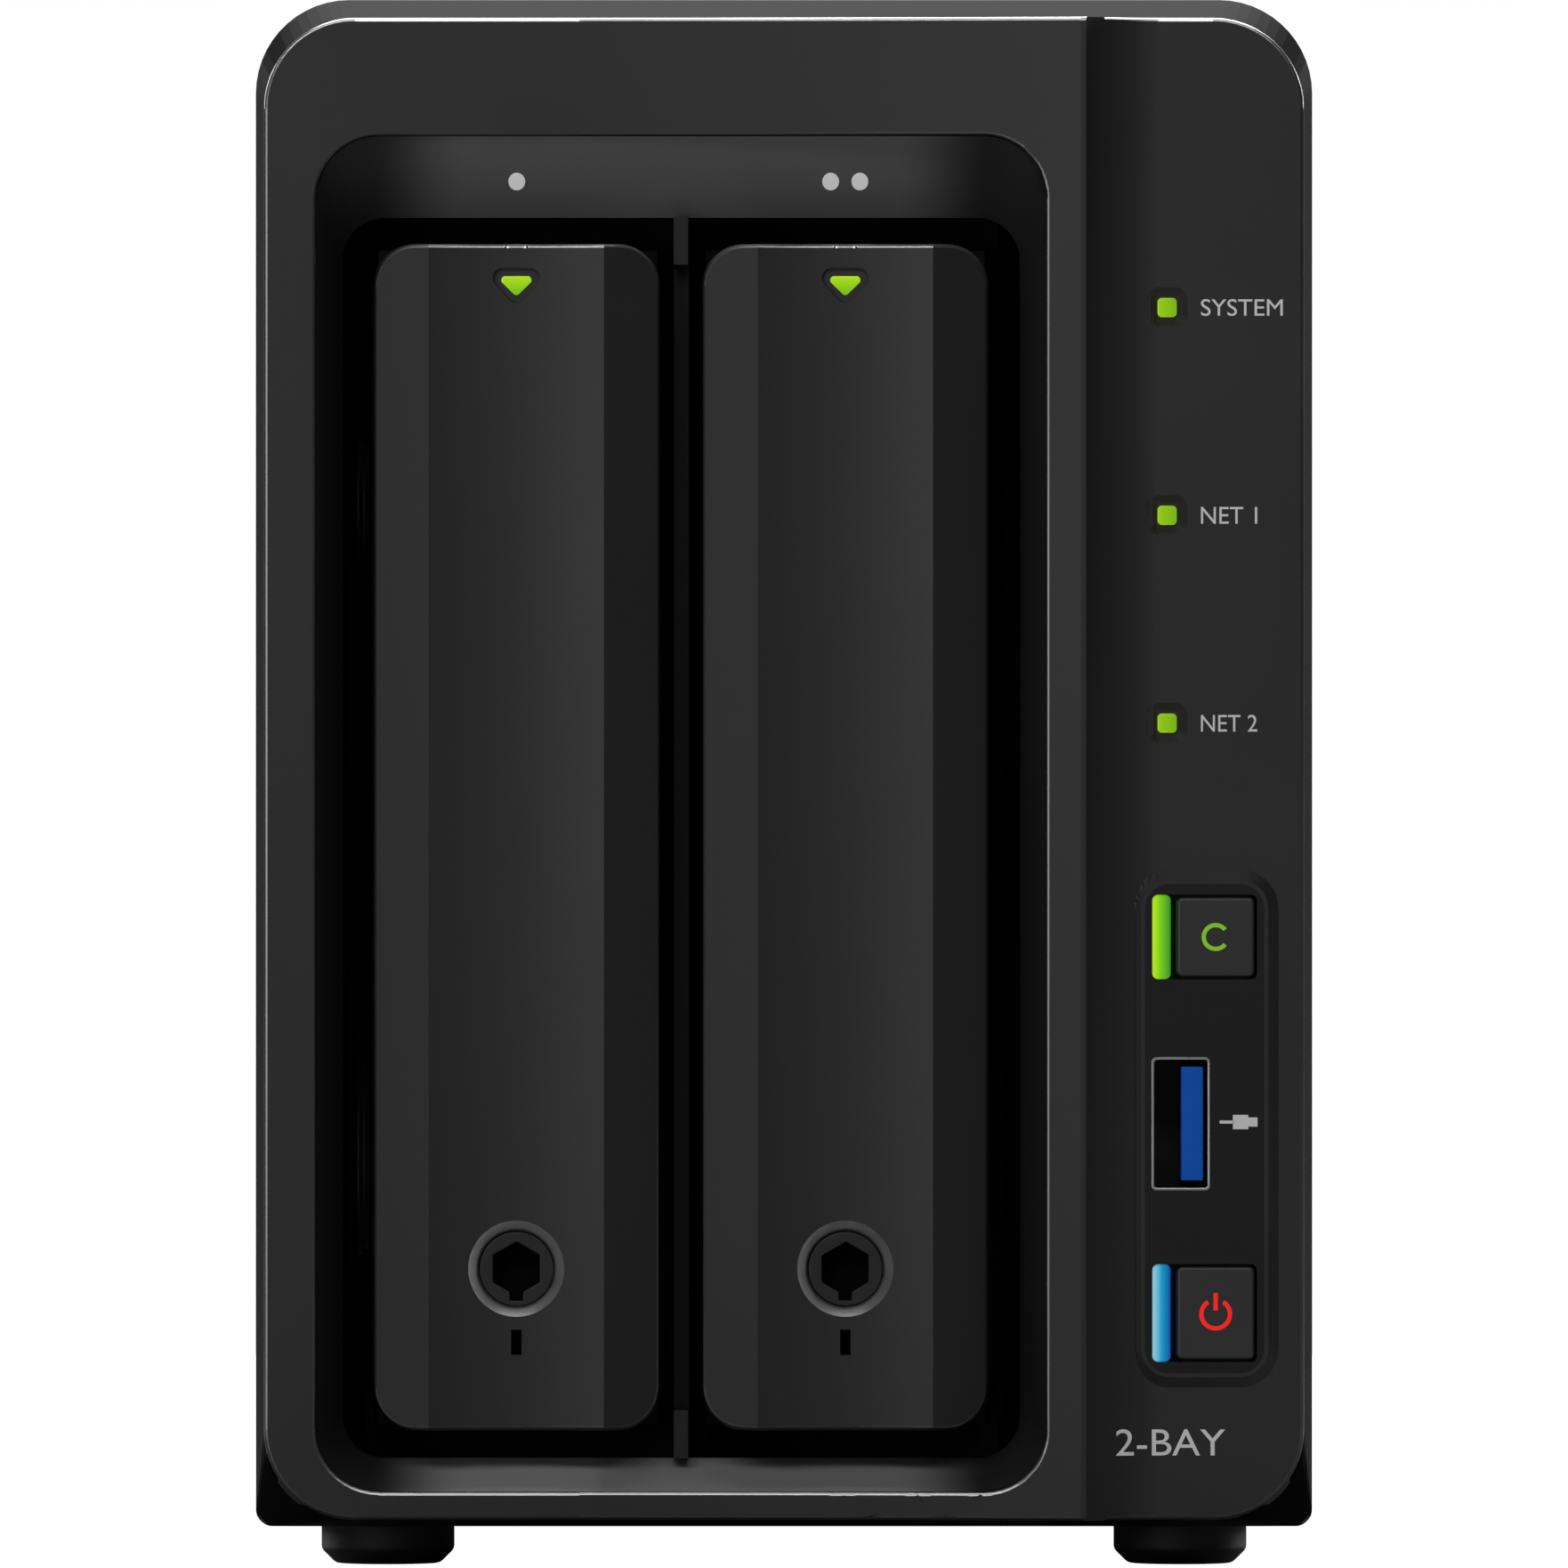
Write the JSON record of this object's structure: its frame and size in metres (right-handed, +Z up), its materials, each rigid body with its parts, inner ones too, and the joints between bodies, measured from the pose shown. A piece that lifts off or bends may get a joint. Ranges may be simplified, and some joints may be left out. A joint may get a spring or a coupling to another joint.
{
  "type": "network attached storage",
  "caption": "Black desktop network storage box with pull-out drive trays, hinged locking handles, buttons, status lights, front and rear ports and a cooling fan.",
  "frame": {"origin": "on the ground, under the middle of the case", "axes": "+X right seen from the front, +Y from the front to the back, +Z up"},
  "size_m": [0.1036, 0.232, 0.1536],
  "materials": {
    "case_steel": "fine textured black powder coat",
    "bezel_plastic": "fine spark-eroded texture",
    "panel_plastic": "fine texture",
    "handle_plastic": "fine texture",
    "button_plastic": "fine texture",
    "green_lens": "clear tinted",
    "blue_lens": "clear tinted",
    "lock_plastic": "semi gloss",
    "foot_rubber": "matt",
    "plain_steel": "zinc plated",
    "port_steel": "nickel plated",
    "port_blue": "smooth",
    "port_black": "smooth",
    "circuit_green": "solder mask",
    "chip_black": "moulded epoxy",
    "light_chip": "clear",
    "connector_white": "smooth",
    "flat_cable": "smooth",
    "lead_black": "smooth",
    "sink_aluminium": "extruded",
    "drive_aluminium": "cast",
    "drive_steel": "pressed sheet",
    "rail_plastic": "smooth",
    "fan_plastic": "smooth"
  },
  "bodies": {
    "case": {"outer_cover": "case_steel", "base_pan": "case_steel", "back_panel": "case_steel", "rubber_feet": "foot_rubber", "front_bezel": "bezel_plastic", "control_panel": "panel_plastic", "power_light_strip": "blue_lens", "copy_light_strip": "green_lens", "status_lenses": "green_lens", "front_board": "circuit_green", "button_switches": "chip_black", "front_lights": "light_chip", "drive_cage": "case_steel", "bay_divider": "case_steel", "bay_rails": "rail_plastic", "backplane_board": "circuit_green", "drive_sockets": "port_black", "main_board": "circuit_green", "board_screws": "plain_steel", "board_chips": "chip_black", "connectors": "connector_white", "front_cable": "flat_cable", "cpu_heatsink": "sink_aluminium", "coin_cell": "drive_steel", "memory_module": "circuit_green", "memory_socket": "port_black", "fan_frame": "fan_plastic", "fan_screws": "plain_steel", "fan_lead": "lead_black", "cover_screws": "plain_steel", "usb_shells": "port_steel", "usb_tongues": "port_blue", "lan_ports": "port_steel", "esata_port": "port_black", "dc_inlet": "port_black", "reset_switch": "chip_black"},
    "power_button": {"power_button": "button_plastic"},
    "copy_button": {"copy_button": "button_plastic"},
    "reset_button": {"reset_button": "button_plastic"},
    "fan_rotor": {"fan_rotor": "fan_plastic"},
    "tray_1": {"tray_frame_1": "rail_plastic", "tray_clips_1": "rail_plastic", "handle_pin_1": "plain_steel", "handle_spring_1": "plain_steel", "drive_case_1": "drive_aluminium", "drive_lid_1": "drive_steel", "drive_board_1": "circuit_green"},
    "handle_1": {"tray_handle_1": "handle_plastic", "arrow_lens_1": "green_lens"},
    "lock_1": {"lock_barrel_1": "lock_plastic"},
    "tray_2": {"tray_frame_2": "rail_plastic", "tray_clips_2": "rail_plastic", "handle_pin_2": "plain_steel", "handle_spring_2": "plain_steel", "drive_case_2": "drive_aluminium", "drive_lid_2": "drive_steel", "drive_board_2": "circuit_green"},
    "handle_2": {"tray_handle_2": "handle_plastic", "arrow_lens_2": "green_lens"},
    "lock_2": {"lock_barrel_2": "lock_plastic"}
  },
  "joints": [
    {"name": "tray_1_slide", "type": "slide", "parent": "case", "child": "tray_1", "axis": [0, -1, 0], "range_m": [0, 0.175]},
    {"name": "handle_1_swing", "type": "hinge", "parent": "tray_1", "child": "handle_1", "pos_m": [-0.02619, -0.1067, 0.12389], "axis": [-1, 0, 0], "range_deg": [0, 45]},
    {"name": "lock_1_turn", "type": "hinge", "parent": "handle_1", "child": "lock_1", "pos_m": [-0.02619, -0.1067, 0.02938], "axis": [0, 1, 0], "range_deg": [0, 90]},
    {"name": "tray_2_slide", "type": "slide", "parent": "case", "child": "tray_2", "axis": [0, -1, 0], "range_m": [0, 0.175]},
    {"name": "handle_2_swing", "type": "hinge", "parent": "tray_2", "child": "handle_2", "pos_m": [0.006, -0.1067, 0.12389], "axis": [-1, 0, 0], "range_deg": [0, 45]},
    {"name": "lock_2_turn", "type": "hinge", "parent": "handle_2", "child": "lock_2", "pos_m": [0.006, -0.1067, 0.02938], "axis": [0, 1, 0], "range_deg": [0, 90]},
    {"name": "power_button_press", "type": "slide", "parent": "case", "child": "power_button", "axis": [0, 1, 0], "range_m": [0, 0.0005], "stiffness_N_per_m": 1500},
    {"name": "copy_button_press", "type": "slide", "parent": "case", "child": "copy_button", "axis": [0, 1, 0], "range_m": [0, 0.0005], "stiffness_N_per_m": 1500},
    {"name": "reset_button_press", "type": "slide", "parent": "case", "child": "reset_button", "axis": [0, -1, 0], "range_m": [0, 0.0005], "stiffness_N_per_m": 1500},
    {"name": "fan_spin", "type": "hinge", "parent": "case", "child": "fan_rotor", "pos_m": [-0.0085, 0.1, 0.095], "axis": [0, 1, 0], "continuous": true}
  ]
}
